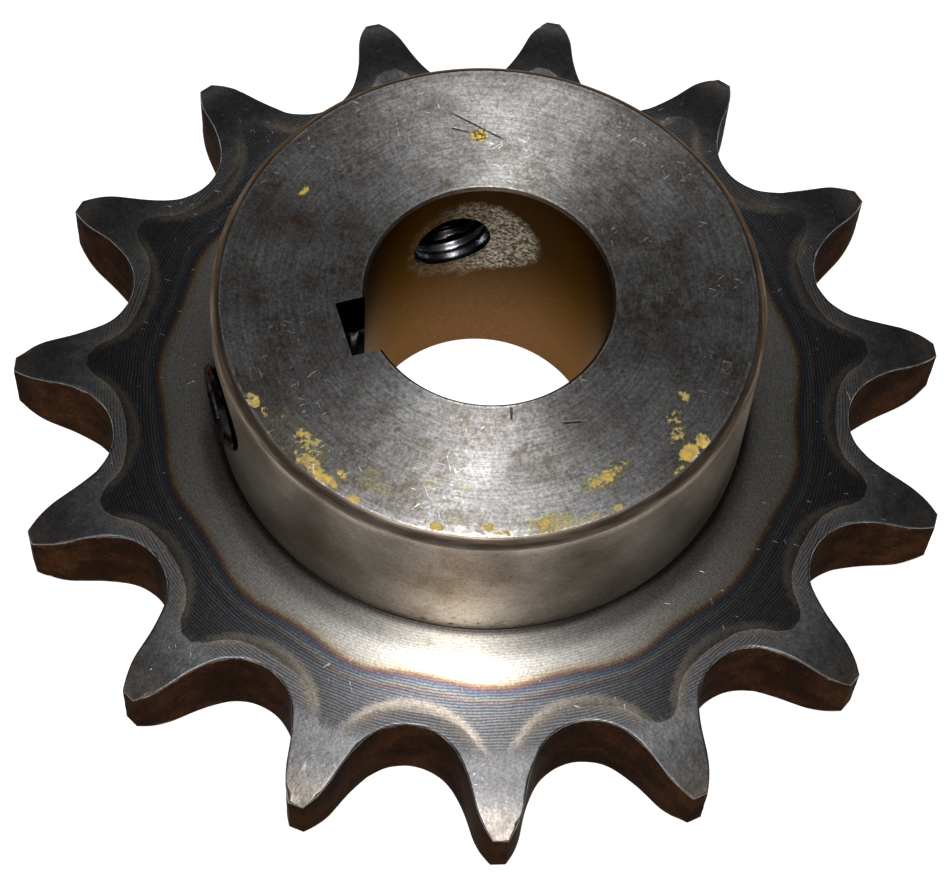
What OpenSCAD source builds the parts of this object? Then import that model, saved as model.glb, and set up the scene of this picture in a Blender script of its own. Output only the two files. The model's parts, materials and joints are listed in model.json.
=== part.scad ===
// Finished-bore sprocket for single-strand roller chain, with a hub on one side.
// A turned hub is fitted through a toothed plate and welded to it at the back.
// The bore has a keyway, and two socket set screws grip the key and the shaft.
//
// Frame: the origin is on the bore's axis, in the flush back face of the plate.
// +Z runs to the hub end. +X runs out through the middle of the keyway.
// Units are millimetres and degrees.

/* [Chain] */
// Pitch of the chain
pitch = 19.05; // [18.6:0.05:19.5]
// Diameter of the chain's rollers
roller_d = 11.91; // [11.5:0.01:12.1]
// Number of teeth
teeth = 15; // [15:1:20]

/* [Toothed plate] */
// Extra on the usual outside diameter, left by the size of the turned blank
outside_extra = 0.55; // [0:0.05:0.6]
// Thickness of the plate
plate_t = 11.66; // [10.5:0.02:12.5]
// Angle from the keyway's centreline to the middle of the nearest tooth
tooth_offset = 3.5; // [-12:0.5:12]
// How far each tooth is thinned on each side at its tip
relief_depth = 2.35; // [1.5:0.05:2.6]

/* [Hub] */
// Outside diameter of the hub
hub_d = 57.15; // [54:0.05:60]
// Length through the bore, from the back face to the hub end
hub_length = 31.75; // [30:0.05:34]
// Diameter of the hub's spigot inside the plate
spigot_d = 46; // [44:0.5:48]
// Diameter of the bore
bore_d = 25.4; // [22:0.1:27]
// Width of the keyway
keyway_w = 6.35; // [5:0.05:7]
// Depth of the keyway, measured at its sides
keyway_side_depth = 3.175; // [2.5:0.025:3.5]
// Chamfer round the outer edge of the hub end
hub_chamfer = 0.8; // [0.5:0.1:1.2]
// Chamfer at each end of the bore
bore_chamfer = 0.3; // [0.2:0.05:0.5]

/* [Weld] */
// Depth of the weld groove in the back face
groove_depth = 3.6; // [3:0.1:4.5]
// How far the weld lies below the back face
weld_sink = 0.4; // [0.3:0.05:0.8]

/* [Set screws] */
// Diameter of both set screws
screw_d = 9.525; // [8:0.025:10]
// Length of both set screws
screw_length = 12.7; // [10:0.1:13]
// Distance of the screws' axes from the hub end
screw_from_end = 9.525; // [8.5:0.025:10.5]
// Radial gap between a screw and its hole
screw_gap = 0.04; // [0.02:0.01:0.08]
// Width across the flats of the screws' hexagon sockets
socket_af = 4.7625; // [4:0.0125:5]
// Depth of the hexagon sockets
socket_depth = 4.8; // [4:0.1:5.5]
// Distance from the bore's axis to the point of the screw over the keyway
key_screw_point = 16.7; // [15.5:0.1:18]
// Distance from the bore's axis to the point of the screw on the shaft
shaft_screw_point = 15.9; // [12.9:0.1:18]
// Angle from the screw over the keyway to the other screw
shaft_screw_angle = -90; // [-120:1:-60]

/* [Hidden] */
// Points along one arc of a tooth's outline, and bands along its side relief
SEAT_STEPS = 8;
WORK_STEPS = 4;
TIP_STEPS = 7;
RELIEF_STEPS = 6;
// The set screws: the chamfer at the socket end, and the cup with its flat rim
END_CHAMFER = 0.7;
CUP_R = 2.3;
CUP_ANGLE = 59;
POINT_RIM = 0.3;
// Countersink at the mouth of each screw hole, and how far cutters run past a face
MOUTH_CHAMFER = 0.5;
PAST = 1;
$fn = 96;

// The tooth form. A gap's own frame has its origin at the roller's centre, with
// +Y pointing outwards. The form has four parts: the seat, the working curve, a
// short straight flank, and the topping curve that rounds the tooth off.
half_angle = 180 / teeth;
pitch_r = pitch / 2 / sin(half_angle);
outside_r = pitch * (0.6 + 1 / tan(half_angle)) / 2 + outside_extra / 2;
seat_r = (1.005 * roller_d + 0.0762) / 2;
angle_a = 35 + 60 / teeth;
angle_b = 18 - 56 / teeth;
work_centre = 0.8 * roller_d * [-cos(angle_a), sin(angle_a)];
work_r = 0.8 * roller_d + seat_r;
tip_centre = 1.4 * roller_d * [cos(half_angle), -sin(half_angle)];
flank_normal = [cos(angle_b - angle_a), sin(angle_b - angle_a)];
tip_r = (tip_centre - work_centre) * flank_normal - work_r;

// The topping curve ends where it meets the outside diameter, or sooner where it
// meets the tooth's middle line
tip_start = 180 + angle_b - angle_a;
tip_from_axis = tip_centre + [0, pitch_r];
tip_outside = atan2(tip_from_axis[1], tip_from_axis[0])
    + acos((pow(outside_r, 2) - pow(norm(tip_from_axis), 2) - pow(tip_r, 2))
           / (2 * norm(tip_from_axis) * tip_r));
middle_normal = [cos(half_angle), -sin(half_angle)];
tip_middle = acos((pitch / 2 - tip_centre * middle_normal) / tip_r) - half_angle;
tip_end = max(tip_outside, tip_middle);

relief_start_r = outside_r - pitch / 2;
groove_half = groove_depth - weld_sink;
spigot_r = spigot_d / 2;
hub_r = hub_d / 2;
bore_r = bore_d / 2;
key_bottom = sqrt(pow(bore_r, 2) - pow(keyway_w / 2, 2)) + keyway_side_depth;
screw_z = hub_length - screw_from_end;
screw_r = screw_d / 2;
cup_depth = CUP_R / tan(CUP_ANGLE);
point_r = CUP_R + POINT_RIM;

// A point on a circle
function on_circle(centre, r, a) = centre + r * [cos(a), sin(a)];

// One flank, from the bottom of the gap to the tooth's tip, in the gap's frame
function flank_points() = concat(
    [for (i = [0 : SEAT_STEPS])
        on_circle([0, 0], seat_r, -90 + (90 - angle_a) * i / SEAT_STEPS)],
    [for (i = [1 : WORK_STEPS])
        on_circle(work_centre, work_r, -angle_a + angle_b * i / WORK_STEPS)],
    [for (i = [0 : TIP_STEPS])
        on_circle(tip_centre, tip_r, tip_start + (tip_end - tip_start) * i / TIP_STEPS)]
);

// A gap-frame point in the part's frame, for a gap centred at angle a from +X.
// side is 1 for the flank on the clockwise side of the gap, and -1 for the other.
function placed(p, side, a) = [
    (pitch_r + p[1]) * cos(a) + side * p[0] * sin(a),
    (pitch_r + p[1]) * sin(a) - side * p[0] * cos(a)
];

// The whole outline, gap by gap, counter-clockwise
function outline_points() =
    let (flank = flank_points(), last = len(flank) - 1)
    [for (k = [0 : teeth - 1])
        let (a = tooth_offset + half_angle + k * 2 * half_angle)
        for (i = [-last : last])
            placed(flank[abs(i)], i < 0 ? 1 : -1, a)];

// One side of the turned blank, from where the thinning of the teeth starts. The
// inset grows with the square of the distance, as a large radius does.
function relief_points() =
    [for (i = [0 : RELIEF_STEPS])
        [relief_start_r + (outside_r + PAST - relief_start_r) * i / RELIEF_STEPS,
         relief_depth * pow((outside_r + PAST - relief_start_r) * i / RELIEF_STEPS
                            / (outside_r - relief_start_r), 2)]];

// The blank before the teeth are cut, with the weld groove's outer half
module plate_blank() {
    side = relief_points();
    rotate_extrude()
        polygon(concat(
            [[spigot_r, plate_t], [spigot_r, groove_depth], [spigot_r + groove_depth, 0]],
            side,
            [for (i = [RELIEF_STEPS : -1 : 0]) [side[i][0], plate_t - side[i][1]]]
        ));
}

module toothed_plate() {
    color([0.22, 0.23, 0.25])
        intersection() {
            plate_blank();
            translate([0, 0, -PAST])
                linear_extrude(plate_t + 2 * PAST)
                    polygon(outline_points());
        }
}

// A screw's hole along +X, with its mouth countersunk in the hub's round side
module screw_hole() {
    hole_r = screw_r + screw_gap;
    mouth_r = hole_r + MOUTH_CHAMFER;
    rotate([0, 90, 0])
        rotate_extrude()
            polygon([[0, 0], [hole_r, 0], [hole_r, hub_r - MOUTH_CHAMFER],
                     [mouth_r + PAST, hub_r + PAST], [0, hub_r + PAST]]);
}

module hub() {
    color([0.36, 0.34, 0.33])
        difference() {
            rotate_extrude()
                polygon([
                    [bore_r + bore_chamfer, 0], [spigot_r - groove_depth, 0],
                    [spigot_r, groove_depth], [spigot_r, plate_t], [hub_r, plate_t],
                    [hub_r, hub_length - hub_chamfer], [hub_r - hub_chamfer, hub_length],
                    [bore_r + bore_chamfer, hub_length],
                    [bore_r, hub_length - bore_chamfer], [bore_r, bore_chamfer]
                ]);
            translate([0, -keyway_w / 2, -PAST])
                cube([key_bottom, keyway_w, hub_length + 2 * PAST]);
            for (a = [0, shaft_screw_angle])
                rotate([0, 0, a])
                    translate([0, 0, screw_z])
                        screw_hole();
        }
}

// The weld fills its groove to just below the back face
module hub_weld() {
    color([0.45, 0.43, 0.40])
        rotate_extrude()
            polygon([[spigot_r, groove_depth], [spigot_r - groove_half, weld_sink],
                     [spigot_r + groove_half, weld_sink]]);
}

// A socket set screw along +X, with its cup point at x = 0
module setscrew() {
    color([0.12, 0.12, 0.13])
        rotate([0, 90, 0])
            difference() {
                rotate_extrude()
                    polygon([[0, cup_depth], [CUP_R, 0], [point_r, 0],
                             [screw_r, screw_r - point_r],
                             [screw_r, screw_length - END_CHAMFER],
                             [screw_r - END_CHAMFER, screw_length], [0, screw_length]]);
                translate([0, 0, screw_length - socket_depth])
                    cylinder(h = socket_depth + PAST, d = socket_af / cos(30), $fn = 6);
            }
}

module key_setscrew() {
    translate([key_screw_point, 0, screw_z])
        setscrew();
}

module shaft_setscrew() {
    rotate([0, 0, shaft_screw_angle])
        translate([shaft_screw_point, 0, screw_z])
            setscrew();
}

toothed_plate();
hub();
hub_weld();
key_setscrew();
shaft_setscrew();
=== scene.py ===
"""Looks for a roller chain sprocket: a toothed plate, a welded hub and two set screws.

Lengths are in millimetres until a mesh is made, and angles are in radians unless a
name says otherwise. The frame is the CAD model's: the origin is on the bore's axis in
the back face, +Z runs to the hub end, and +X runs through the middle of the keyway.
"""
import json
import math

import bpy
import numpy as np
from mathutils import Matrix, Vector


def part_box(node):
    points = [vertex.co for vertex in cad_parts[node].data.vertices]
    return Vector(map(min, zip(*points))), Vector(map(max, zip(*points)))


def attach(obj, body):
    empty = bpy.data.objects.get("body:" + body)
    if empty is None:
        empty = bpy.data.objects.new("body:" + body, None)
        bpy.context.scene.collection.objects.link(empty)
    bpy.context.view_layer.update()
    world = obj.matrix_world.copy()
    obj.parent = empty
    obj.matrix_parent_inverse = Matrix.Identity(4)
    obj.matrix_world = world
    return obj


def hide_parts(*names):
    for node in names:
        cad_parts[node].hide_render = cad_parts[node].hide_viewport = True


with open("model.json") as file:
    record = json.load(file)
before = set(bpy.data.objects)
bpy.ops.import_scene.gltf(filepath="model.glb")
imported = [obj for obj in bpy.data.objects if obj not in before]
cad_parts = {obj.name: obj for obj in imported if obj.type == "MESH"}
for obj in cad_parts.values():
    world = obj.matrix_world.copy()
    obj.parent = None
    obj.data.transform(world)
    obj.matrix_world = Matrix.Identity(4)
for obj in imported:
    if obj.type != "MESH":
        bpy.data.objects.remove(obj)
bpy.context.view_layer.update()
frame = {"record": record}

# ---------------------------------------------------------------- dimensions

MM = 0.001
TAU = 2 * math.pi

# The chain and the tooth form
PITCH = 19.05
ROLLER_D = 11.91
TEETH = 15
OUTSIDE_EXTRA = 0.55
RELIEF_DEPTH = 2.35
TOOTH_OFFSET = math.radians(3.5)

# Read from the frame: the plate's thickness, the hub and the bore
PLATE_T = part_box("toothed_plate")[1].z / MM
HUB_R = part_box("hub")[1].x / MM
HUB_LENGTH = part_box("hub")[1].z / MM
BORE_R = next(m["dims"]["r_mm"] for m in frame["record"]["mounts"] if m["name"] == "bore")
KEY_SCREW_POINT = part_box("key_setscrew")[0].x / MM
SHAFT_SCREW_POINT = -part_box("shaft_setscrew")[1].y / MM
SCREW_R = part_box("key_setscrew")[1].y / MM
SCREW_Z = (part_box("key_setscrew")[0].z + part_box("key_setscrew")[1].z) / 2 / MM
SCREW_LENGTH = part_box("key_setscrew")[1].x / MM - KEY_SCREW_POINT

INNERMOST = {j["child"]: j["range_m"][0] / MM for j in frame["record"]["behaviour"]["joints"]}

SPIGOT_R = 23.0
GROOVE_DEPTH = 3.6
WELD_SINK = 0.4
HUB_CHAMFER = 0.8
BORE_CHAMFER = 0.3
KEYWAY_W = 6.35
KEYWAY_SIDE_DEPTH = 3.175
THREAD_PITCH = 1.5875
SHAFT_SCREW_ANGLE = math.radians(-90)

# The screws and their holes: the cup point's and the hole's radii, the depths of the
# two threads, the countersink, and the hole's radius where only the point reaches
POINT_R = 2.6
HOLE_R = SCREW_R + 0.04
SCREW_THREAD = 0.86
HOLE_THREAD = 0.42
HOLE_MOUTH = 0.5
TAPPED_R = 4.15

# The tooth form's own values, as in the usual tooth-form tables
HALF_TOOTH = math.pi / TEETH
PITCH_R = PITCH / 2 / math.sin(HALF_TOOTH)
OUTSIDE_R = PITCH * (0.6 + 1 / math.tan(HALF_TOOTH)) / 2 + OUTSIDE_EXTRA / 2
SEAT_R = (1.005 * ROLLER_D + 0.0762) / 2
ANGLE_A = math.radians(35 + 60 / TEETH)
ANGLE_B = math.radians(18 - 56 / TEETH)
RELIEF_START_R = OUTSIDE_R - PITCH / 2

# Where the heat of hardening stopped: a radius, and how far it waves with the teeth
TINT_R = 34.75
TINT_WAVE = 0.38

# The yellow paint left on the hub end: angle, radius, length along the turning and
# width across it, and how much of it is left
PAINT = [
    (11.5, 26.9, 1.5, 1.0, 1.15), (15, 26.5, 1.4, 0.9, 0.8), (21, 25.6, 3.6, 2.4, 0.45),
    (27, 25.2, 3.4, 1.9, 0.95), (31, 26.6, 3.0, 1.2, 1.1), (36, 27.0, 2.2, 1.0, 1.2),
    (38, 25.6, 1.1, 0.8, 1.0), (43.5, 27.2, 1.1, 0.7, 1.3), (44, 23.6, 1.1, 0.8, 0.9),
    (46, 25.0, 2.6, 1.2, 0.45), (58, 22.4, 0.9, 0.6, 0.7), (62, 27.0, 1.1, 0.7, 1.25),
    (67, 22.2, 0.9, 0.6, 0.6), (73, 26.5, 1.0, 0.7, 0.9), (76, 27.1, 1.3, 0.6, 0.85),
    (86.5, 26.6, 3.4, 1.5, 1.0), (91, 27.2, 2.2, 0.6, 1.0), (95, 27.1, 1.8, 0.5, 0.9),
    (101, 27.2, 0.8, 0.6, 1.3), (101, 23.8, 3.0, 1.3, 1.1), (106, 23.4, 1.9, 1.1, 0.8),
    (117, 27.3, 1.2, 0.5, 1.0), (121.5, 26.7, 1.8, 1.3, 1.45), (125.5, 26.9, 1.4, 1.2, 1.2),
    (123, 24.6, 1.8, 1.3, 0.95), (126.5, 23.2, 1.5, 1.1, 0.85), (133, 22.6, 0.9, 0.9, 1.2),
    (144, 25.0, 0.7, 0.5, 0.6), (311, 22.8, 1.1, 0.7, 1.0), (66, 26.0, 0.6, 0.5, 0.7),
]
# Dark scratches on the hub end: where each starts and ends, as x and y
SCRATCHES = [((-2.2, -22.8), (-7.4, -17.2)), ((-1.9, -20.6), (-3.9, -19.4)),
             ((1.6, 12.9), (2.1, 14.6)), ((-2.6, 16.2), (-5.0, 16.6))]


# ---------------------------------------------------------------- meshes

def make_object(name, points, faces, materials, indices=None):
    """An object from points in millimetres, with smooth faces and sharp corners."""
    mesh = bpy.data.meshes.new(name)
    mesh.from_pydata((np.asarray(points) * MM).tolist(), [], faces)
    for material in materials:
        mesh.materials.append(material)
    if indices is not None:
        mesh.polygons.foreach_set("material_index", indices)
    obj = bpy.data.objects.new(name, mesh)
    bpy.context.scene.collection.objects.link(obj)
    finish_mesh(mesh)
    return obj


def finish_mesh(mesh):
    """Smooth shading, broken where faces meet at a sharp angle."""
    mesh.validate()
    mesh.shade_smooth()
    mesh.set_sharp_from_angle(angle=math.radians(32))
    mesh.update()


def grid_faces(rows, columns, closed_rows):
    """Quads over a grid of points whose columns run round a closed loop."""
    last = rows if closed_rows else rows - 1
    faces = []
    for j in range(last):
        below = ((j + 1) % rows) * columns
        for i in range(columns):
            right = (i + 1) % columns
            faces.append((j * columns + i, below + i, below + right, j * columns + right))
    return faces


def wander(t, seed, waves, lowest, highest):
    """A smooth random curve over a closed loop, t running from 0 to 1."""
    rng = np.random.default_rng(seed)
    value = np.zeros_like(t)
    for turns in rng.integers(lowest, highest, waves):
        value = value + np.sin(TAU * (turns * t + rng.random()))
    return value / math.sqrt(waves)


# ---------------------------------------------------------------- node helpers

class Shader:
    """One material, with short calls that add and link its nodes."""

    def __init__(self, name):
        self.material = bpy.data.materials.new(name)
        self.material.use_nodes = True
        self.tree = self.material.node_tree
        self.bsdf = self.tree.nodes["Principled BSDF"]
        coords = self.add("ShaderNodeTexCoord")
        scaled = self.add("ShaderNodeVectorMath", operation="SCALE")
        self.tree.links.new(coords.outputs["Object"], scaled.inputs[0])
        scaled.inputs["Scale"].default_value = 1 / MM
        self.place = scaled.outputs[0]
        parts = self.add("ShaderNodeSeparateXYZ")
        self.tree.links.new(self.place, parts.inputs[0])
        self.x, self.y, self.z = parts.outputs
        self.r = self.math("SQRT", self.sum(self.times(self.x, self.x), self.times(self.y, self.y)))
        self.angle = self.math("ARCTAN2", self.y, self.x)

    def add(self, kind, **settings):
        node = self.tree.nodes.new(kind)
        for key, value in settings.items():
            setattr(node, key, value)
        return node

    def feed(self, socket, value):
        if isinstance(value, bpy.types.NodeSocket):
            self.tree.links.new(value, socket)
        elif socket.type == "RGBA" and len(value) == 3:
            socket.default_value = (*value, 1)
        else:
            socket.default_value = value

    def math(self, operation, *values, clamp=False):
        node = self.add("ShaderNodeMath", operation=operation, use_clamp=clamp)
        for socket, value in zip(node.inputs, values):
            self.feed(socket, value)
        return node.outputs[0]

    def sum(self, a, b):
        return self.math("ADD", a, b)

    def minus(self, a, b):
        return self.math("SUBTRACT", a, b)

    def times(self, a, b):
        return self.math("MULTIPLY", a, b)

    def step(self, value, low, high):
        """Smoothly from 0 at low to 1 at high; low may be the larger."""
        node = self.add("ShaderNodeMapRange", interpolation_type="SMOOTHSTEP")
        self.feed(node.inputs["Value"], value)
        self.feed(node.inputs["From Min"], low)
        self.feed(node.inputs["From Max"], high)
        return node.outputs["Result"]

    def noise(self, scale, detail=3, rough=0.55, vector=None, seed=0.0):
        """A noise value about 0.5; scale is in features per millimetre."""
        node = self.add("ShaderNodeTexNoise", noise_dimensions="4D")
        self.feed(node.inputs["Vector"], self.place if vector is None else vector)
        self.feed(node.inputs["W"], seed)
        self.feed(node.inputs["Scale"], scale)
        self.feed(node.inputs["Detail"], detail)
        self.feed(node.inputs["Roughness"], rough)
        return node.outputs["Fac"]

    def vector(self, x, y, z):
        node = self.add("ShaderNodeCombineXYZ")
        for socket, value in zip(node.inputs, (x, y, z)):
            self.feed(socket, value)
        return node.outputs[0]

    def mix(self, amount, a, b):
        node = self.add("ShaderNodeMix", data_type="RGBA", clamp_factor=True)
        self.feed(node.inputs["Factor"], amount)
        self.feed(node.inputs[6], a)
        self.feed(node.inputs[7], b)
        return node.outputs[2]

    def blend(self, amount, a, b):
        """A number between a and b."""
        node = self.add("ShaderNodeMix", data_type="FLOAT", clamp_factor=True)
        self.feed(node.inputs["Factor"], amount)
        self.feed(node.inputs[2], a)
        self.feed(node.inputs[3], b)
        return node.outputs[0]

    def ramp(self, value, low, high, stops):
        """A colour from value; stops are (value, colour) between low and high."""
        node = self.add("ShaderNodeValToRGB")
        self.feed(node.inputs[0], self.math("DIVIDE", self.minus(value, low), high - low, clamp=True))
        elements = node.color_ramp.elements
        while len(elements) < len(stops):
            elements.new(1)
        for element, (position, colour) in zip(elements, stops):
            element.position = (position - low) / (high - low)
            element.color = (*colour, 1)
        return node.outputs["Color"]

    def attribute(self, name):
        return self.add("ShaderNodeAttribute", attribute_name=name).outputs["Fac"]

    def spot(self, angle_degrees, radius, length, width):
        """1 at a place given by angle and radius, fading to 0 at an ellipse round it."""
        a = math.radians(angle_degrees)
        dx = self.minus(self.x, radius * math.cos(a))
        dy = self.minus(self.y, radius * math.sin(a))
        along = self.sum(self.times(dx, -math.sin(a) / length), self.times(dy, math.cos(a) / length))
        across = self.sum(self.times(dx, math.cos(a) / width), self.times(dy, math.sin(a) / width))
        squares = self.sum(self.times(along, along), self.times(across, across))
        return self.step(squares, 1.0, 0.0)

    def anisotropic(self, amount):
        """Turned metal: the finish runs round the Z axis."""
        self.bsdf.inputs["Anisotropic"].default_value = amount
        self.bsdf.inputs["Anisotropic Rotation"].default_value = 0.25
        tangent = self.add("ShaderNodeTangent", direction_type="RADIAL", axis="Z")
        self.feed(self.bsdf.inputs["Tangent"], tangent.outputs[0])

    def tinted_edge(self, amount):
        """A darker reflection at a grazing angle, as on scale and oily film."""
        self.bsdf.inputs["Specular Tint"].default_value = (amount, amount * 0.9, amount * 0.8, 1)

    def bump(self, height, depth):
        """Relief from a height between 0 and 1, depth in millimetres."""
        node = self.add("ShaderNodeBump")
        node.inputs["Strength"].default_value = 1.0
        node.inputs["Distance"].default_value = depth * MM
        self.feed(node.inputs["Height"], height)
        self.feed(self.bsdf.inputs["Normal"], node.outputs[0])

    def surface(self, colour, roughness, metallic=1.0):
        self.feed(self.bsdf.inputs["Base Color"], colour)
        self.feed(self.bsdf.inputs["Roughness"], roughness)
        self.feed(self.bsdf.inputs["Metallic"], metallic)
        return self.material


def nicks(s, seed, share):
    """Short bright scratches that lie in all directions: 1 on a scratch."""
    total = 0.0
    for turn in (0.35, 1.5, 2.6):
        c, d = math.cos(turn), math.sin(turn)
        along = s.sum(s.times(s.x, c), s.times(s.y, d))
        across = s.minus(s.times(s.y, c), s.times(s.x, d))
        lines = s.vector(s.times(along, 0.45), s.times(across, 2.8), s.times(s.z, 1.0))
        value = s.noise(1.5, 1, 0.4, lines, seed + turn)
        total = s.math("MAXIMUM", total, s.step(value, 1 - share, 1 - share + 0.04))
    return s.times(total, s.step(s.noise(0.16, 2, seed=seed + 0.5), 0.46, 0.58))


def turned_grooves(s, feed_mm, seed):
    """The spiral left by a lathe tool: a height between 0 and 1."""
    drift = s.times(s.noise(0.25, 2, seed=seed), 0.6)
    wave = s.math("SINE", s.times(s.sum(s.r, drift), TAU / feed_mm))
    return s.sum(s.times(wave, 0.5), 0.5)


def fine_lines(s, per_mm, seed):
    """Thin rings left by turning, broken along their length: between 0 and 1."""
    rings = s.vector(s.times(s.angle, 3.0), s.times(s.r, per_mm), 0.0)
    return s.noise(1.0, 3, 0.7, rings, seed)


def speckled(s, colour, seed, low, high, scale=3.6):
    """The colour made darker and lighter in fine specks."""
    value = s.step(s.noise(scale, 4, 0.8, seed=seed), 0.32, 0.68)
    scaled = s.add("ShaderNodeVectorMath", operation="SCALE")
    s.feed(scaled.inputs[0], colour)
    s.feed(scaled.inputs["Scale"], s.blend(value, low, high))
    return scaled.outputs[0]


# ---------------------------------------------------------------- materials

def plate_material(name, anisotropy):
    """Steel with the heat colours of hardened teeth, turned where anisotropy is high."""
    s = Shader(name)
    rim = s.attribute("rim_mm")
    wave = s.math("COSINE", s.times(s.minus(s.angle, TOOTH_OFFSET), TEETH))
    wobble = s.times(s.minus(s.noise(0.12, 3, seed=1.0), 0.5), 0.9)
    grain = s.times(s.minus(s.noise(5.0, 2, seed=2.0), 0.5), 0.5)
    edge = s.sum(TINT_R, s.times(wave, TINT_WAVE))
    # How far a point lies outside the edge of the heat colours, in millimetres
    outside = s.sum(s.minus(s.r, edge), s.sum(wobble, grain))
    colour = s.ramp(outside, -3.0, 5.0, [
        (-3.0, (0.60, 0.58, 0.55)),
        (-1.3, (0.58, 0.55, 0.50)),
        (-0.6, (0.50, 0.42, 0.31)),
        (-0.3, (0.30, 0.19, 0.12)),
        (0.0, (0.17, 0.10, 0.10)),
        (0.3, (0.09, 0.10, 0.14)),
        (0.7, (0.12, 0.145, 0.18)),
        (1.0, (0.19, 0.195, 0.20)),
        (1.35, (0.18, 0.155, 0.14)),
        (1.6, (0.13, 0.085, 0.08)),
        (1.9, (0.095, 0.11, 0.14)),
        (2.6, (0.125, 0.13, 0.145)),
        (3.4, (0.10, 0.10, 0.11)),
        (5.0, (0.085, 0.085, 0.09)),
    ])
    # Painted shade: a dark band in the corner at the hub's root
    root_shade = s.step(s.sum(s.r, wobble), HUB_R + 1.0, HUB_R + 0.1)
    colour = s.mix(s.times(root_shade, 0.85), colour, (0.05, 0.04, 0.03))
    # The halo that the hardening left round each gap
    ragged = s.times(s.minus(s.noise(1.9, 6, 0.9, seed=3.0), 0.5), 2.3)
    from_gap = s.sum(rim, ragged)
    halo = s.times(s.step(from_gap, 0.7, 2.0), s.step(from_gap, 3.2, 2.4))
    halo = s.times(halo, s.step(s.sum(s.r, ragged), 43.2, 40.0))
    near_gap = s.times(s.step(from_gap, 1.6, 0.6), s.step(s.r, 44.0, 40.5))
    colour = s.mix(s.times(near_gap, 0.45), colour, (0.13, 0.13, 0.135))
    # The thinned teeth: scaled, with browner tips
    scale_spots = s.noise(0.9, 6, 0.7, seed=5.0)
    tooth = s.mix(scale_spots, (0.055, 0.055, 0.058), (0.185, 0.18, 0.18))
    tip = s.mix(s.noise(1.6, 4, seed=6.0), (0.11, 0.09, 0.075), (0.33, 0.29, 0.25))
    tooth = s.mix(s.times(s.step(s.r, 46.5, 50.0), 0.6), tooth, tip)
    colour = s.mix(s.step(s.sum(s.r, ragged), 41.4, 43.2), colour, tooth)
    lines = fine_lines(s, 3.4, 12.0)
    turned = s.step(s.r, 42.6, 40.6)
    rings = turned_grooves(s, 0.33, 10.0)
    shade = s.step(s.sum(s.times(lines, 0.65), s.times(rings, 0.35)), 0.34, 0.66)
    heated = s.step(outside, 0.0, 1.0)
    amount = s.times(turned, s.blend(heated, 0.22, 0.62))
    colour = s.mix(s.times(s.minus(1.0, shade), amount), colour, (0.045, 0.045, 0.05))
    colour = s.mix(s.times(shade, s.times(amount, 0.25)), colour, (0.45, 0.44, 0.43))
    halo = s.times(halo, s.blend(s.noise(0.08, 2, seed=4.0), 0.40, 0.95))
    tan = s.mix(s.step(from_gap, 1.6, 2.6), (0.20, 0.165, 0.13), (0.37, 0.325, 0.265))
    colour = s.mix(halo, colour, tan)
    colour = speckled(s, colour, 13.0, 0.68, 1.34)
    dust = s.step(s.noise(1.9, 2, 0.5, seed=14.0), 0.735, 0.76)
    colour = s.mix(s.times(dust, 0.8), colour, (0.55, 0.54, 0.52))
    # Bright worn corners, most along the seats
    worn = s.times(s.step(rim, 0.14, 0.02), s.step(s.noise(0.5, 4, 0.7, seed=7.0), 0.46, 0.62))
    worn = s.times(worn, s.blend(s.step(s.r, 46.5, 41.5), 0.15, 0.60))
    colour = s.mix(worn, colour, (0.50, 0.46, 0.41))
    bright = nicks(s, 8.0, 0.25)
    colour = s.mix(s.times(bright, 0.7), colour, (0.70, 0.68, 0.65))
    stains = s.step(s.noise(0.35, 5, 0.65, seed=9.0), 0.60, 0.72)
    colour = s.mix(s.times(stains, 0.35), colour, (0.10, 0.075, 0.055))

    grooves = s.times(rings, turned)
    cross = s.noise(1.0, 4, 0.65, s.vector(s.times(s.angle, 60), s.times(s.r, 1.2), s.z), 11.0)
    height = s.sum(s.times(grooves, 0.22), s.times(cross, s.blend(turned, 2.2, 0.3)))
    height = s.sum(height, s.times(lines, s.times(turned, 0.7)))
    s.bump(s.minus(height, s.times(bright, 0.5)), 0.012)
    s.anisotropic(anisotropy)
    silver = s.step(outside, 0.2, -0.8)
    rough = s.blend(silver, s.blend(scale_spots, 0.32, 0.46), 0.38)
    return s.surface(colour, rough)


def gap_wall_material():
    """The cut sides of the teeth: brown scale with thin rust."""
    s = Shader("gap_wall_scale")
    rim = s.step(s.attribute("wall_mm"), 0.55, 0.0)
    along = s.vector(s.times(s.angle, 55), s.times(s.r, 1.4), s.times(s.z, 0.25))
    streak = s.noise(1.2, 4, 0.6, along, 20.0)
    patch = s.noise(0.22, 5, 0.62, seed=21.0)
    colour = s.mix(s.step(patch, 0.35, 0.68), (0.036, 0.018, 0.009), (0.096, 0.047, 0.021))
    colour = s.mix(s.times(streak, 0.5), colour, (0.014, 0.010, 0.008))
    rust = s.step(s.noise(0.8, 6, 0.7, seed=22.0), 0.60, 0.70)
    colour = s.mix(s.times(rust, 0.5), colour, (0.10, 0.042, 0.016))
    worn = s.times(rim, s.step(s.noise(0.9, 4, seed=23.0), 0.50, 0.66))
    colour = s.mix(s.times(worn, 0.35), colour, (0.40, 0.32, 0.25))
    s.bump(s.sum(s.times(streak, 0.7), s.times(patch, 0.6)), 0.035)
    s.tinted_edge(0.12)
    return s.surface(speckled(s, colour, 24.0, 0.6, 1.35), s.blend(patch, 0.60, 0.42), 0.95)


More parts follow.
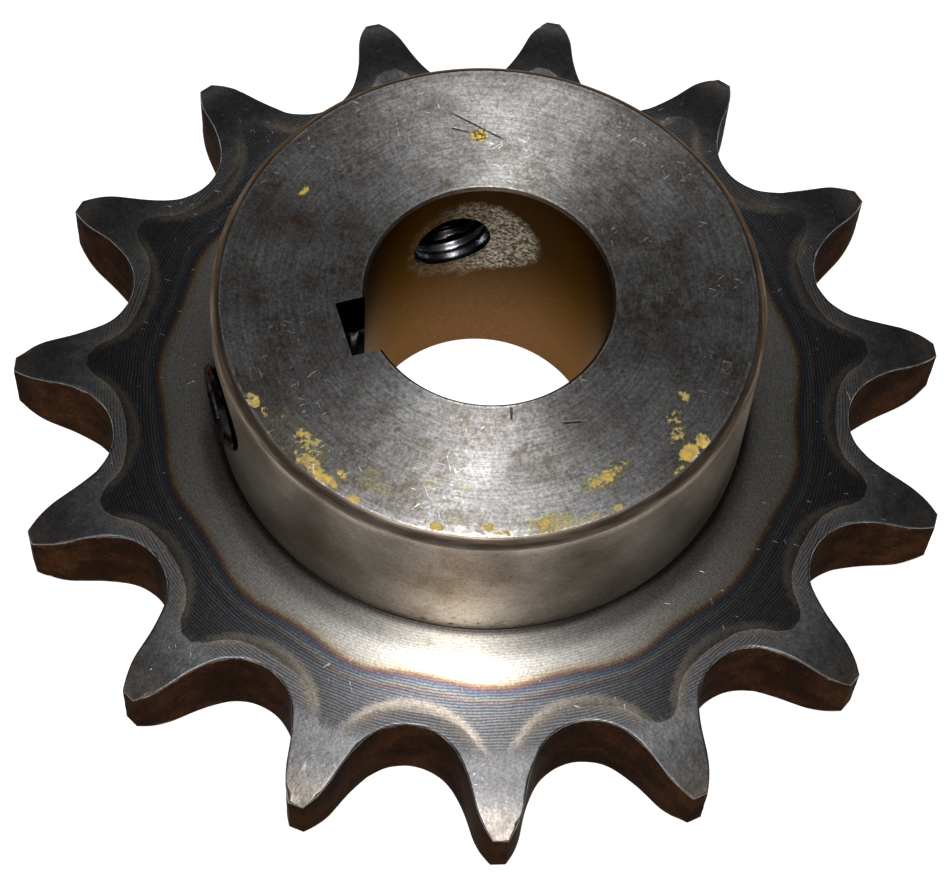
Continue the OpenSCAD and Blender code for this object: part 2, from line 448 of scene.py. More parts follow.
def hub_face_material():
    """The turned hub end: mottled, scratched, with remains of yellow paint."""
    s = Shader("hub_end")
    cloud = s.noise(0.13, 5, 0.62, seed=30.0)
    fine = s.noise(1.7, 6, 0.72, seed=31.0)
    colour = s.mix(s.step(cloud, 0.36, 0.66), (0.27, 0.255, 0.245), (0.50, 0.495, 0.49))
    colour = s.mix(s.times(s.step(fine, 0.50, 0.66), 0.5), colour, (0.10, 0.09, 0.08))
    brown = s.times(s.step(s.noise(0.20, 5, 0.68, seed=32.0), 0.47, 0.60),
                    s.step(s.noise(1.1, 5, 0.7, seed=33.0), 0.40, 0.60))
    colour = s.mix(s.times(brown, 0.70), colour, (0.155, 0.115, 0.070))
    pale = s.times(s.step(s.noise(0.30, 5, 0.7, seed=25.0), 0.54, 0.66), 0.35)
    colour = s.mix(pale, colour, (0.60, 0.60, 0.61))
    rust = s.times(s.spot(320.0, 21.2, 0.9, 2.0), s.noise(1.5, 4, seed=26.0))
    colour = s.mix(s.times(rust, 1.3), colour, (0.22, 0.085, 0.030))
    paint = 0.0
    for angle, radius, length, width, amount in PAINT:
        paint = s.math("MAXIMUM", paint, s.times(s.spot(angle, radius, length, width), amount))
    flakes = s.sum(s.noise(1.5, 6, 0.75, seed=34.0), s.times(s.minus(paint, 1.0), 0.26))
    solid = s.times(s.step(flakes, 0.44, 0.55), s.step(paint, 0.02, 0.35))
    film = s.times(s.step(paint, 0.0, 0.6), s.step(s.noise(0.9, 5, 0.7, seed=35.0), 0.3, 0.6))
    colour = s.mix(s.times(film, 0.75), colour, (0.36, 0.33, 0.16))
    yellow = s.step(s.noise(1.3, 5, 0.7, seed=36.0), 0.35, 0.65)
    yellow = s.mix(yellow, (0.36, 0.28, 0.10), (0.72, 0.47, 0.07))
    colour = s.mix(solid, colour, yellow)
    # A drilled mark with brass-coloured paint in it, and dark scratches
    mark = s.step(s.spot(256.3, 19.4, 1.05, 0.85), 0.1, 0.3)
    speckle = s.step(s.noise(3.0, 3, seed=39.0), 0.42, 0.56)
    colour = s.mix(mark, colour, s.mix(speckle, (0.10, 0.07, 0.02), (0.75, 0.52, 0.10)))
    scratch = 0.0
    for start, end in SCRATCHES:
        middle = [(a + b) / 2 for a, b in zip(start, end)]
        half = math.dist(start, end) / 2
        c, d = (end[0] - middle[0]) / half, (end[1] - middle[1]) / half
        dx = s.minus(s.x, middle[0])
        dy = s.minus(s.y, middle[1])
        along = s.math("ABSOLUTE", s.sum(s.times(dx, c / half), s.times(dy, d / half)))
        across = s.math("ABSOLUTE", s.minus(s.times(dy, c), s.times(dx, d)))
        line = s.times(s.step(across, 0.17, 0.05), s.step(along, 1.0, 0.6))
        scratch = s.math("MAXIMUM", scratch, line)
    worn_line = s.step(s.noise(1.4, 3, seed=29.0), 0.30, 0.50)
    colour = s.mix(s.times(scratch, worn_line), colour, (0.035, 0.032, 0.030))
    bright = s.times(nicks(s, 37.0, 0.31), s.step(cloud, 0.62, 0.40))
    colour = s.mix(bright, colour, (0.85, 0.84, 0.82))
    # Painted highlight: thin bright lines along the face's outer rim and round the bore's mouth
    edge = s.math("MAXIMUM", s.step(s.r, HUB_R - 1.30, HUB_R - 1.10),
                  s.step(s.r, BORE_R + 0.60, BORE_R + 0.35))
    colour = s.mix(s.times(edge, s.step(fine, 0.40, 0.60)), colour, (0.62, 0.61, 0.60))

    lines = fine_lines(s, 4.2, 28.0)
    metal = s.mix(s.times(s.step(lines, 0.62, 0.38), 0.42), colour, (0.10, 0.095, 0.09))
    colour = s.mix(solid, speckled(s, metal, 27.0, 0.62, 1.4, 3.0), colour)
    grooves = turned_grooves(s, 0.16, 38.0)
    height = s.sum(s.times(grooves, 0.25), s.sum(s.times(fine, 0.8), s.times(lines, 0.5)))
    height = s.sum(height, s.times(solid, 1.6))
    s.bump(s.minus(height, s.sum(s.times(bright, 0.8), s.times(scratch, 2.5))), 0.006)
    s.anisotropic(0.76)
    rough = s.blend(cloud, 0.50, 0.40)
    rough = s.blend(solid, rough, 0.62)
    return s.surface(colour, rough, s.minus(1.0, solid))


def barrel_material():
    """The hub's round side: dull, with ragged tool marks at its root."""
    s = Shader("hub_barrel")
    cloud = s.noise(0.10, 4, 0.6, seed=40.0)
    around = s.vector(s.times(s.angle, 6), s.times(s.z, 2.6), 0.0)
    bands = s.noise(0.8, 5, 0.6, around, 41.0)
    colour = s.mix(s.step(cloud, 0.22, 0.80), (0.16, 0.13, 0.10), (0.43, 0.40, 0.355))
    colour = s.mix(s.times(s.step(bands, 0.45, 0.70), 0.35), colour, (0.26, 0.235, 0.21))
    root = s.step(s.z, PLATE_T + 4.2, PLATE_T + 0.8)
    marks = s.noise(1.0, 5, 0.7, s.vector(s.times(s.angle, 22), s.times(s.z, 2.2), 0.0), 42.0)
    torn = s.times(root, s.step(marks, 0.54, 0.62))
    colour = s.mix(s.times(torn, 0.8), colour, (0.035, 0.030, 0.027))
    colour = s.mix(s.step(s.z, PLATE_T + 0.5, PLATE_T + 0.15), colour, (0.030, 0.024, 0.020))
    smear = s.times(s.step(s.z, HUB_LENGTH - 3.4, HUB_LENGTH - 1.0), s.noise(0.35, 4, seed=43.0))
    colour = s.mix(s.times(smear, 0.45), colour, (0.30, 0.24, 0.18))
    dark = s.step(s.noise(1.3, 5, 0.7, seed=44.0), 0.60, 0.70)
    colour = s.mix(s.times(dark, 0.5), colour, (0.05, 0.042, 0.036))
    height = s.sum(s.times(bands, 0.5), s.times(torn, -2.0))
    s.bump(s.sum(height, s.times(s.noise(3.0, 5, 0.7, seed=45.0), 0.6)), 0.012)
    s.anisotropic(0.5)
    s.tinted_edge(0.35)
    return s.surface(speckled(s, colour, 46.0, 0.75, 1.25), s.blend(cloud, 0.40, 0.31))


def chamfer_material():
    """Chamfers: a brown film with scuffs that handling has kept bright."""
    s = Shader("scuffed_chamfer")
    along = s.vector(s.times(s.angle, 5.0), s.times(s.r, 2.0), s.times(s.z, 2.0))
    worn = s.noise(1.0, 5, 0.65, along, 50.0)
    colour = s.mix(s.step(worn, 0.40, 0.70), (0.11, 0.080, 0.060), (0.26, 0.215, 0.175))
    s.bump(worn, 0.01)
    s.tinted_edge(0.4)
    return s.surface(colour, s.blend(worn, 0.50, 0.38))


def bore_material():
    """The finished bore: smooth, with a brown film and painted light that makes it lighter towards
    the back face, dressed round the screw hole.
    """
    s = Shader("bore_wall")
    film = s.noise(0.12, 4, 0.55, seed=60.0)
    # Painted light: the wall is lighter brown towards the back face and darker towards the hub end
    low = s.step(s.z, HUB_LENGTH * 0.75, 2.0)
    colour = s.mix(low, (0.028, 0.018, 0.012), (0.150, 0.078, 0.038))
    colour = s.mix(s.times(film, 0.4), colour, (0.070, 0.036, 0.018))
    c, d = math.cos(SHAFT_SCREW_ANGLE), math.sin(SHAFT_SCREW_ANGLE)
    side = s.minus(s.times(s.y, c), s.times(s.x, d))
    side = s.sum(side, 1.6)
    up = s.minus(s.z, SCREW_Z)
    facing = s.step(s.sum(s.times(s.x, c), s.times(s.y, d)), 2.0, 6.0)
    away = s.math("SQRT", s.sum(s.times(side, side), s.times(up, up)))
    ragged = s.times(s.minus(s.noise(0.5, 4, 0.6, seed=61.0), 0.5), 2.4)
    ring = s.times(s.step(s.sum(away, ragged), 7.5, 6.3), facing)
    sparkle = s.step(s.noise(2.4, 5, 0.75, seed=62.0), 0.42, 0.62)
    ring = s.times(ring, s.blend(s.step(side, 3.5, -4.5), 0.12, 1.0))
    dressed = s.mix(sparkle, (0.06, 0.045, 0.030), (0.46, 0.42, 0.34))
    colour = s.mix(ring, colour, dressed)
    colour = speckled(s, colour, 64.0, 0.82, 1.18)
    height = s.sum(s.times(s.noise(2.4, 5, 0.75, seed=62.0), ring), s.times(film, 0.2))
    s.bump(height, 0.06)
    s.tinted_edge(0.5)
    return s.surface(colour, s.blend(ring, 0.38, 0.34))


def dark_cut_material(name, colour_a, colour_b, roughness):
    """Cut surfaces well inside the part: the keyway, the threads and the weld groove. Past about 2 mm
    outside the bore they fade to near black, as painted shade.
    """
    s = Shader(name)
    patch = s.noise(0.9, 5, 0.65, seed=70.0)
    colour = s.mix(s.step(patch, 0.35, 0.65), colour_a, colour_b)
    # Painted shade: near black where the cut lies further out from the bore
    deep_shade = s.step(s.r, BORE_R + 1.8, BORE_R + 3.4)
    s.bump(s.noise(2.2, 4, 0.6, seed=71.0), 0.02)
    s.tinted_edge(0.2)
    return s.surface(s.mix(s.times(deep_shade, 0.93), colour, (0.006, 0.005, 0.005)), roughness)


def black_oxide_material():
    """Black oxide on the set screws, rubbed through on the corners."""
    s = Shader("black_oxide")
    patch = s.noise(1.2, 5, 0.65, seed=80.0)
    colour = s.mix(s.step(patch, 0.40, 0.66), (0.008, 0.008, 0.010), (0.026, 0.026, 0.030))
    rust = s.step(s.noise(0.7, 5, 0.7, seed=81.0), 0.62, 0.72)
    colour = s.mix(s.times(rust, 0.6), colour, (0.12, 0.055, 0.025))
    s.bump(s.noise(3.5, 4, 0.6, seed=82.0), 0.008)
    s.tinted_edge(0.5)
    return s.surface(colour, s.blend(patch, 0.20, 0.32))


def weld_material():
    """Weld metal with scale between its ripples and straw to blue colours."""
    s = Shader("weld_bead")
    patch = s.noise(0.5, 5, 0.65, seed=90.0)
    middle = s.math("ABSOLUTE", s.minus(s.r, SPIGOT_R))
    tint = s.sum(middle, s.times(s.minus(patch, 0.5), 2.0))
    colour = s.ramp(tint, 0.0, 3.6, [
        (0.0, (0.34, 0.32, 0.29)),
        (1.4, (0.30, 0.24, 0.17)),
        (2.2, (0.15, 0.09, 0.09)),
        (2.9, (0.06, 0.08, 0.14)),
        (3.6, (0.05, 0.05, 0.06)),
    ])
    s.bump(s.noise(2.0, 5, 0.7, seed=91.0), 0.04)
    return s.surface(colour, s.blend(patch, 0.50, 0.34))


def floor_material():
    """A plain pale floor."""
    s = Shader("pale_floor")
    tone = s.noise(0.01, 3, seed=95.0)
    s.bsdf.inputs["Emission Color"].default_value = (1, 1, 1, 1)
    s.bsdf.inputs["Emission Strength"].default_value = 0.62
    return s.surface(s.mix(tone, (0.80, 0.80, 0.80), (0.82, 0.82, 0.82)), 0.9, 0.0)


# ---------------------------------------------------------------- toothed plate

SEAT_STEPS = 18
WORK_STEPS = 6
TIP_STEPS = 12
LAND_STEPS = 3
ROUND_R = 37.6
FACE_STEPS = 18
PLAIN_STEPS = 5
CORNER_STEPS = 4
WALL_STEPS = 9
FACE_FINISH, WALL_FINISH, TOOTH_FINISH = range(3)

# The tooth form's arc centres, as multiples of the roller's diameter from the gap's middle
WORK_REACH = 0.8
TIP_REACH = 1.4


def flank():
    """One flank, from the bottom of the gap to the tip, round the roller's centre."""
    def arc(centre, radius, start, end, steps, skip_first):
        t = np.linspace(start, end, steps + 1)[1 if skip_first else 0:]
        return np.stack([centre[0] + radius * np.cos(t), centre[1] + radius * np.sin(t)], 1)

    work_c = WORK_REACH * ROLLER_D * np.array([-math.cos(ANGLE_A), math.sin(ANGLE_A)])
    work_r = WORK_REACH * ROLLER_D + SEAT_R
    tip_c = TIP_REACH * ROLLER_D * np.array([math.cos(HALF_TOOTH), -math.sin(HALF_TOOTH)])
    top = ANGLE_B - ANGLE_A
    normal = np.array([math.cos(top), math.sin(top)])
    tip_r = (tip_c - work_c) @ normal - work_r
    from_axis = tip_c + np.array([0, PITCH_R])
    reach = math.hypot(*from_axis)
    tip_end = math.atan2(from_axis[1], from_axis[0]) + math.acos(
        (OUTSIDE_R ** 2 - reach ** 2 - tip_r ** 2) / (2 * reach * tip_r))
    return np.concatenate([
        arc((0, 0), SEAT_R, -math.pi / 2, -ANGLE_A, SEAT_STEPS, False),
        arc(work_c, work_r, -ANGLE_A, top, WORK_STEPS, True),
        arc(tip_c, tip_r, math.pi + top, tip_end, TIP_STEPS, False),
    ])


def outline():
    """The plate's outline, counter-clockwise, as polar angles and radii."""
    half = flank()
    angles = np.arctan2(half[:, 0], half[:, 1] + PITCH_R)
    radii = np.hypot(half[:, 0], half[:, 1] + PITCH_R)
    land = np.linspace(angles[-1], 2 * HALF_TOOTH - angles[-1], LAND_STEPS + 1)[1:-1]
    gap_a = np.concatenate([-angles[:0:-1], angles, land])
    gap_r = np.concatenate([radii[:0:-1], radii, np.full(len(land), OUTSIDE_R)])
    turns = TOOTH_OFFSET + HALF_TOOTH + 2 * HALF_TOOTH * np.arange(TEETH)
    return (turns[:, None] + gap_a).ravel(), np.tile(gap_r, TEETH)


def corner_sizes(count):
    """The rounding of the plate's corner all the way round, with chips and burrs."""
    t = np.arange(count) / count
    size = 0.17 + 0.045 * wander(t, 5, 9, 20, 160)
    rng = np.random.default_rng(11)
    for centre, depth, width in zip(rng.random(22), rng.uniform(0.1, 0.32, 22),
                                    rng.uniform(0.0006, 0.0016, 22)):
        away = np.abs((t - centre + 0.5) % 1 - 0.5)
        size = size + depth * np.exp(-(away / width) ** 2)
    return np.clip(size, 0.08, 0.45)


def relief(radius):
    """How far a face lies below the flat of the plate at a radius."""
    return RELIEF_DEPTH * np.clip((radius - RELIEF_START_R) / (OUTSIDE_R - RELIEF_START_R), 0, 2) ** 2


def plate():
    """The toothed plate as one closed grid: columns round it, rows over its section."""
    angle, radius = outline()
    columns = len(angle)
    edge = np.stack([radius * np.cos(angle), radius * np.sin(angle)], 1)
    along = np.roll(edge, -1, 0) - np.roll(edge, 1, 0)
    along /= np.linalg.norm(along, axis=1)[:, None]
    inward = np.stack([-along[:, 1], along[:, 0]], 1)
    round_up = np.stack([np.cos(angle), np.sin(angle)], 1)
    top_corner, back_corner = corner_sizes(columns), np.roll(corner_sizes(columns), columns // 3)

    def face_rows(corner, fixed_radii):
        """Points of one face from its inner rings out to the rounded corner."""
        inset = edge + inward * corner[:, None]
        rows = [round_up * r for r in fixed_radii]
        last = rows[-1]
        rows += [last + (inset - last) * t for t in np.linspace(0, 1, FACE_STEPS + 1)[1:]]
        return rows

    def corner_rows(corner):
        """Points round the corner, and how far each lies below the face."""
        rows = []
        for turn in np.linspace(0, math.pi / 2, CORNER_STEPS + 1)[1:]:
            rows.append((edge + inward * (corner * (1 - math.sin(turn)))[:, None],
                         corner * (1 - math.cos(turn))))
        return rows

    groove_r = SPIGOT_R + GROOVE_DEPTH
    rings = [SPIGOT_R, HUB_R - 1.0, *np.linspace(HUB_R, ROUND_R, 10)]
    back_rings = [groove_r, *np.linspace(groove_r + 1, ROUND_R, 10)]
    rows, kinds, depths = [], [], []

    def add(flat, height, kind, depth):
        rows.append(np.column_stack([flat, np.broadcast_to(height, columns)]))
        kinds.append(kind)
        depths.append(np.broadcast_to(depth, columns))

    def face_finish(row, fixed_radii):
        return TOOTH_FINISH if row > len(fixed_radii) + PLAIN_STEPS else FACE_FINISH

    for j, flat in enumerate(face_rows(top_corner, rings)):
        add(flat, PLATE_T - relief(np.hypot(*flat.T)), face_finish(j, rings), 0.0)
    top_z = rows[-1][:, 2]
    for flat, drop in corner_rows(top_corner):
        add(flat, top_z - drop, TOOTH_FINISH, 0.0)
    wall_top = rows[-1][:, 2]
    back_flat = edge + inward * back_corner[:, None]
    back_z = relief(np.hypot(*back_flat.T))
    wall_low = back_z + back_corner
    t_loop = np.arange(columns) / columns
    for t in np.linspace(0, 1, WALL_STEPS + 1)[1:-1]:
        push = 0.018 * wander(t_loop + 0.013 * t, 31 + int(t * 10) // 3, 7, 60, 200)
        height = wall_top + (wall_low - wall_top) * t
        depth = np.minimum(wall_top - height, height - wall_low)
        add(edge + inward * push[:, None], height, WALL_FINISH, depth)
    for flat, drop in reversed(corner_rows(back_corner)):
        add(flat, back_z + drop, TOOTH_FINISH, 0.0)
    back_rows = face_rows(back_corner, back_rings)
    for j, flat in reversed(list(enumerate(back_rows))):
        add(flat, relief(np.hypot(*flat.T)), face_finish(j, back_rings), 0.0)
    add(round_up * SPIGOT_R, GROOVE_DEPTH, FACE_FINISH, 0.0)

    points = np.concatenate(rows)
    faces = grid_faces(len(rows), columns, True)
    # A strip between two rows takes the wall's finish if either row has it
    pairs = list(zip(kinds, kinds[1:] + kinds[:1]))
    finishes = [WALL_FINISH if WALL_FINISH in pair else min(pair) for pair in pairs]
    materials = [plate_material("heat_tinted_steel", 0.8), gap_wall_material(),
                 plate_material("tooth_face_steel", 0.25)]
    obj = make_object("plate_body", points, faces, materials, np.repeat(finishes, columns))
    # How far each point is from the outline, measured from above
    rim = np.concatenate([
        np.linalg.norm(part[:, None, :2] - edge[None], axis=2).min(1)
        for part in np.array_split(points, 80)])
    for name, values in (("rim_mm", rim), ("wall_mm", np.concatenate(depths))):
        attribute = obj.data.attributes.new(name, "FLOAT", "POINT")
        attribute.data.foreach_set("value", values.astype(np.float32))
    return obj


# ---------------------------------------------------------------- screw threads

THREAD_STEPS = 14
HOLE_THREAD_STEPS = 12
SCREW_COLUMNS = 48


def thread_height(x, angle, flat=0.18):
    """0 at the bottom of the thread's groove and 1 on its crest."""
    turn = (x / THREAD_PITCH - angle / TAU) % 1
    ridge = 1 - np.abs(2 * turn - 1)
    return np.clip((ridge - flat) / (1 - 2 * flat), 0, 1)


def along_x(radii, xs, angles):
    """Grid points round the X axis; radii has a row for each x."""
    y = radii * np.cos(angles)
    z = radii * np.sin(angles)
    return np.stack([np.broadcast_to(xs[:, None], radii.shape), y, z], -1)


def set_screw(name, point_x, turn, material):
    """A socket set screw with a cup point, threaded all the way."""
    angles = TAU * np.arange(SCREW_COLUMNS) / SCREW_COLUMNS
    end_chamfer = 0.7
    cup_r, cup_depth = 2.3, 1.38
    socket_r, socket_depth = 4.7625 / 2, 4.8
    steps = int(SCREW_LENGTH / THREAD_PITCH * THREAD_STEPS)
    xs = np.linspace(0, SCREW_LENGTH, steps + 1)
    crest = SCREW_R - SCREW_THREAD * (1 - thread_height(xs[:, None], angles[None]))
    limit = np.minimum(POINT_R + xs, SCREW_R - end_chamfer + SCREW_LENGTH - xs)
    body = along_x(np.minimum(crest, limit[:, None]), xs, angles)

    hexagon = socket_r / np.cos((angles + math.pi / 6) % (math.pi / 3) - math.pi / 6)
    flat_ring = np.ones_like(angles)
    mouth = [(flat_ring * (SCREW_R - end_chamfer - 0.12), 0.0), (flat_ring * 3.05, 0.0),
             (hexagon * 1.02 + 0.05, -0.12), (hexagon, -0.35), (hexagon, -socket_depth),
             (flat_ring * 0.25, -socket_depth - 0.9)]
    socket_rows = [along_x(r[None], np.array([SCREW_LENGTH + dx]), angles)[0] for r, dx in mouth]
    cup_rows = []
    for t in np.linspace(0, 1, 8)[1:]:
        radius = cup_r * (1 - t) + 0.05 * t
        cup_rows.append(along_x((flat_ring * radius)[None],
                                np.array([cup_depth * math.sin(t * math.pi / 2)]), angles)[0])
    rim_row = along_x((flat_ring * cup_r)[None], np.array([0.06]), angles)[0]
    rows = [*cup_rows[::-1], rim_row, *body, *socket_rows]
    points = np.concatenate(rows)
    faces = [face[::-1] for face in grid_faces(len(rows), SCREW_COLUMNS, False)]
    faces.append(tuple(range(SCREW_COLUMNS)))
    start = (len(rows) - 1) * SCREW_COLUMNS
    faces.append(tuple(range(start, start + SCREW_COLUMNS))[::-1])
    points = points + np.array([point_x, 0, 0])
    c, d = math.cos(turn), math.sin(turn)
    points = points @ np.array([[c, d, 0], [-d, c, 0], [0, 0, 1]]) + np.array([0, 0, SCREW_Z])
    return make_object(name, points, faces, [material])


# ---------------------------------------------------------------- hub

def lathe(name, profile, columns, materials):
    """A closed turned shape; profile is (radius, height), clockwise seen from the side."""
    angles = TAU * np.arange(columns) / columns
    rows = [np.column_stack([r * np.cos(angles), r * np.sin(angles), np.full(columns, z)])
            for r, z in profile]
    return make_object(name, np.concatenate(rows), grid_faces(len(rows), columns, True), materials)


def between(a, b, steps):
    """Points from a to b, without b."""
    return [tuple(np.array(a) + (np.array(b) - np.array(a)) * k / steps) for k in range(steps)]


def tap(turn, innermost):
    """The solid that cuts one threaded hole and countersinks its mouth.

    Where only the screw's point reaches, the hole keeps a tapped hole's small width.
    """
    angles = TAU * np.arange(SCREW_COLUMNS) / SCREW_COLUMNS
    start, end = 4.0, HUB_R + 3.0
    steps = int((end - start) / THREAD_PITCH * HOLE_THREAD_STEPS)
    xs = np.linspace(start, end, steps + 1)
    narrow = xs < innermost + TAPPED_R - POINT_R - 0.1
    core = np.where(narrow, TAPPED_R, HOLE_R)[:, None]
    thread = np.where(narrow, HOLE_THREAD / 2, HOLE_THREAD)[:, None]
    radii = core + thread * thread_height(xs[:, None], angles[None], 0.1)
    radii = np.maximum(radii, HOLE_R + (xs - (HUB_R - HOLE_MOUTH))[:, None])
    points = along_x(radii, xs, angles).reshape(-1, 3)
    faces = [face[::-1] for face in grid_faces(len(xs), SCREW_COLUMNS, False)]
    faces.append(tuple(range(SCREW_COLUMNS)))
    last = (len(xs) - 1) * SCREW_COLUMNS
    faces.append(tuple(range(last, last + SCREW_COLUMNS))[::-1])
    c, d = math.cos(turn), math.sin(turn)
    points = points @ np.array([[c, d, 0], [-d, c, 0], [0, 0, 1]]) + np.array([0, 0, SCREW_Z])
    return make_object("tap", points, faces, [])


def cut(obj, cutter):
    """Takes cutter away from obj, for good."""
    modifier = obj.modifiers.new("cut", "BOOLEAN")
    modifier.operation = "DIFFERENCE"
    modifier.solver = "EXACT"
    modifier.object = cutter
    graph = bpy.context.evaluated_depsgraph_get()
    result = bpy.data.meshes.new_from_object(obj.evaluated_get(graph))
    obj.modifiers.clear()
    obj.data = result
    bpy.data.objects.remove(cutter)


def hub():
    """The turned hub, with the bore, the keyway and the threaded holes cut in it."""
    top, z0 = HUB_LENGTH, 0.0
    soft = 0.18
    profile = [
        *between((BORE_R + BORE_CHAMFER, top), (HUB_R - HUB_CHAMFER - soft, top), 12),
        (HUB_R - HUB_CHAMFER - soft, top),
        (HUB_R - HUB_CHAMFER + 0.05, top - 0.10),
        (HUB_R - 0.10, top - HUB_CHAMFER + 0.05),
        *between((HUB_R, top - HUB_CHAMFER - soft), (HUB_R, PLATE_T + 0.5), 13),
        (HUB_R, PLATE_T + 0.5),
        (HUB_R - 0.12, PLATE_T + 0.22),
        (HUB_R - 0.12, PLATE_T),
        (SPIGOT_R, PLATE_T),
        (SPIGOT_R, GROOVE_DEPTH),
        (SPIGOT_R - GROOVE_DEPTH, z0),
        *between((SPIGOT_R - GROOVE_DEPTH - 0.3, z0), (BORE_R + BORE_CHAMFER, z0), 5),
        (BORE_R + BORE_CHAMFER, z0),
        *between((BORE_R, z0 + BORE_CHAMFER), (BORE_R, top - BORE_CHAMFER), 18),
        (BORE_R, top - BORE_CHAMFER),
    ]
    obj = lathe("hub_body", profile, 288, [])
    depth = math.sqrt(BORE_R ** 2 - (KEYWAY_W / 2) ** 2) + KEYWAY_SIDE_DEPTH
    box = [(x, y, z) for x in (2.0, depth) for y in (-KEYWAY_W / 2, KEYWAY_W / 2)
           for z in (-2.0, top + 2)]
    sides = [(0, 1, 3, 2), (4, 6, 7, 5), (0, 4, 5, 1), (2, 3, 7, 6), (0, 2, 6, 4), (1, 5, 7, 3)]
    cut(obj, make_object("keyway_cutter", box, sides, []))
    cut(obj, tap(0.0, KEY_SCREW_POINT + INNERMOST["key_screw"]))
    cut(obj, tap(SHAFT_SCREW_ANGLE, SHAFT_SCREW_POINT + INNERMOST["shaft_screw"]))

    # Painted shade: the keyway's walls are given near-black colours
    keyway = dark_cut_material("keyway_cut", (0.003, 0.002, 0.002), (0.012, 0.007, 0.005), 0.55)
    thread = dark_cut_material("tapped_thread", (0.16, 0.165, 0.18), (0.36, 0.37, 0.40), 0.26)
    groove = dark_cut_material("groove_cut", (0.10, 0.085, 0.07), (0.26, 0.24, 0.21), 0.4)
    materials = [hub_face_material(), barrel_material(), chamfer_material(), bore_material(),
                 keyway, thread, groove]
    for material in materials:
        obj.data.materials.append(material)
    for face in obj.data.polygons:
        face.material_index = hub_region(face.center / MM, face.normal, depth)
    finish_mesh(obj.data)
    return obj


def hub_region(c, normal, key_depth):
    """Which of the hub's materials a face takes, from its middle and its normal."""
    face, barrel, edge, bore, keyway, thread, groove = range(7)
    r = math.hypot(c.x, c.y)
    in_keyway = r > BORE_R + 0.002 and 0 < c.x < key_depth + 0.01 and abs(normal.z) < 0.1
    on_side = abs(abs(c.y) - KEYWAY_W / 2) < 0.01 and abs(normal.y) > 0.99
    on_bottom = abs(c.x - key_depth) < 0.01 and normal.x < -0.99
    if in_keyway and (on_side or on_bottom):
        return keyway
    for turn in (0.0, SHAFT_SCREW_ANGLE):
        out = c.x * math.cos(turn) + c.y * math.sin(turn)
        side = c.y * math.cos(turn) - c.x * math.sin(turn)
        away = math.hypot(side, c.z - SCREW_Z)
        in_hole = away < HOLE_R + HOLE_THREAD - 0.02
        on_surface = abs(r - HUB_R) < 0.01 or abs(r - BORE_R) < 0.01
        if out > BORE_R - 1 and in_hole and not on_surface and abs(normal.z) < 0.999:
            return thread
        if out > HUB_R - 0.6 and away < SCREW_R + 0.6 and r < HUB_R - 0.01:
            return edge
    if r < BORE_R + 0.01 and abs(normal.z) < 0.3:
        return bore
    if abs(normal.z) > 0.95:
        return face
    if 0.3 <= abs(normal.z) <= 0.95:
        return groove if c.z < PLATE_T and r > BORE_R + 1 else edge
    return barrel


# ---------------------------------------------------------------- weld

def weld():
    """The weld ring: one bead whose ripples overlap round the groove."""
    columns, across, ripples = 900, 12, 56
    angles = TAU * np.arange(columns) / columns
    half = GROOVE_DEPTH - WELD_SINK
    t_loop = np.arange(columns) / columns
    drift = 0.10 * wander(t_loop, 61, 6, 3, 40)
    rows = []
    for t in np.linspace(-1, 1, across + 1):
        radius = SPIGOT_R + t * (half + 0.04)
        ripple = (angles * ripples / TAU + 0.42 * t * t + 0.05 * wander(t_loop, 62, 4, 5, 60)) % 1
        crown = (1 - t * t) * (0.12 + 0.13 * ripple ** 2 + drift * 0.4)
        depth = WELD_SINK - np.clip(crown, 0, WELD_SINK - 0.03)
        rows.append(np.column_stack([radius * np.cos(angles), radius * np.sin(angles), depth]))
    root = np.column_stack([SPIGOT_R * np.cos(angles), SPIGOT_R * np.sin(angles),
                            np.full(columns, GROOVE_DEPTH)])
    rows.append(root)
    faces = [face[::-1] for face in grid_faces(len(rows), columns, True)]
    return make_object("weld_bead", np.concatenate(rows), faces, [weld_material()])


# ---------------------------------------------------------------- stage

def area_light(name, azimuth, elevation, distance, size, power, colour=(1, 1, 1)):
    """A soft light aimed at the middle of the part; angles in degrees from +X and up."""
    data = bpy.data.lights.new(name, "AREA")
    data.shape = "DISK"
    data.size = size
    data.energy = power
    data.color = colour
    light = bpy.data.objects.new(name, data)
    a, e = math.radians(azimuth), math.radians(elevation)
    back = Vector((math.cos(a) * math.cos(e), math.sin(a) * math.cos(e), math.sin(e)))
    light.location = back * distance
    light.rotation_mode = "QUATERNION"
    light.rotation_quaternion = back.to_track_quat("Z", "Y")
    bpy.context.scene.collection.objects.link(light)


CAMERA_AZIMUTH = 68.9
CAMERA_ELEVATION = 62.16
CAMERA_DISTANCE = 0.337
CAMERA_ROLL = 4.77
CAMERA_LENS = 114.8
AIM_RIGHT = -0.00032
AIM_AHEAD = -0.00046


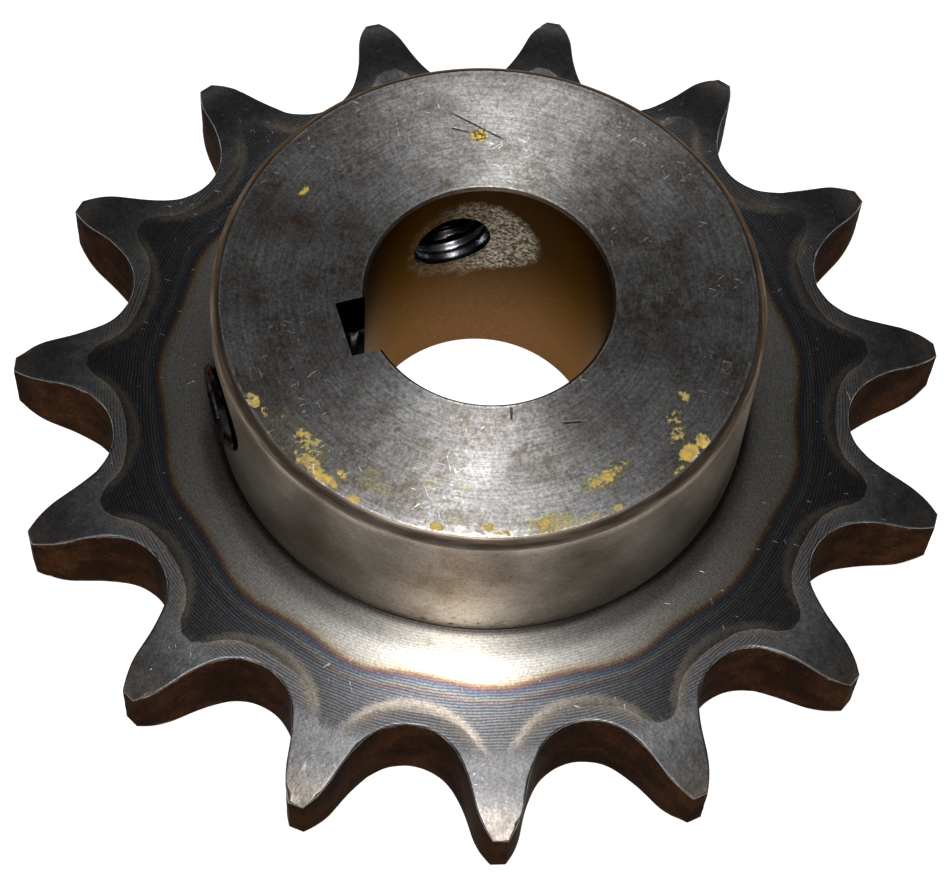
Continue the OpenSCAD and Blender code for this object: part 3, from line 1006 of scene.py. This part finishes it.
def camera():
    """The view: from above on the keyway's side, a little rolled."""
    a, e = math.radians(CAMERA_AZIMUTH), math.radians(CAMERA_ELEVATION)
    position = Vector((math.cos(a) * math.cos(e), math.sin(a) * math.cos(e), math.sin(e)))
    position *= CAMERA_DISTANCE
    right = Vector((-math.sin(a), math.cos(a), 0))
    ahead = Vector((-math.cos(a), -math.sin(a), 0))
    target = right * AIM_RIGHT + ahead * AIM_AHEAD
    back = (position - target).normalized()
    side = Vector((0, 0, 1)).cross(back).normalized()
    up = back.cross(side)
    turn = Matrix((side, up, back)).transposed().to_4x4()
    roll = Matrix.Rotation(math.radians(CAMERA_ROLL), 4, "Z")
    data = bpy.data.cameras.new("camera")
    data.lens = CAMERA_LENS
    data.sensor_width = 36
    data.clip_start = 0.01
    data.clip_end = 20
    obj = bpy.data.objects.new("camera", data)
    obj.matrix_world = Matrix.Translation(position) @ turn @ roll
    bpy.context.scene.collection.objects.link(obj)
    bpy.context.scene.camera = obj


def stage():
    """The floor, the lights and the sky."""
    half = 3000
    below = 0.02
    corners = [(-half, -half, 0), (half, -half, 0), (half, half, 0), (-half, half, 0)]
    floor = make_object("floor", corners, [(0, 1, 2, 3)], [floor_material()])
    floor.location.z = -below * MM
    area_light("front", azimuth=CAMERA_AZIMUTH - 3, elevation=66, distance=0.9, size=0.12,
               power=5.0, colour=(1.0, 0.99, 0.97))
    area_light("back", azimuth=CAMERA_AZIMUTH + 180, elevation=84, distance=0.55, size=0.05,
               power=0.42)
    area_light("near", azimuth=CAMERA_AZIMUTH, elevation=88, distance=0.30, size=0.08,
               power=0.105)
    world = bpy.data.worlds.new("sky")
    world.use_nodes = True
    world.node_tree.nodes["Background"].inputs["Color"].default_value = (0.95, 0.96, 1.0, 1)
    world.node_tree.nodes["Background"].inputs["Strength"].default_value = 0.03
    bpy.context.scene.world = world
    bpy.context.scene.view_settings.view_transform = "Standard"


# ---------------------------------------------------------------- the model

camera()
stage()

screw_finish = black_oxide_material()
pieces = [
    (plate(), "sprocket", "toothed_plate", "hardened_plate"),
    (hub(), "sprocket", "hub", "turned_hub"),
    (weld(), "sprocket", "hub_weld", "weld_metal"),
    (set_screw("key_screw_body", KEY_SCREW_POINT, 0.0, screw_finish),
     "key_screw", "key_setscrew", "black_oxide"),
    (set_screw("shaft_screw_body", SHAFT_SCREW_POINT, SHAFT_SCREW_ANGLE, screw_finish),
     "shaft_screw", "shaft_setscrew", "black_oxide"),
]
for piece, body, node, slot in pieces:
    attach(piece, body)
    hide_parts(node)
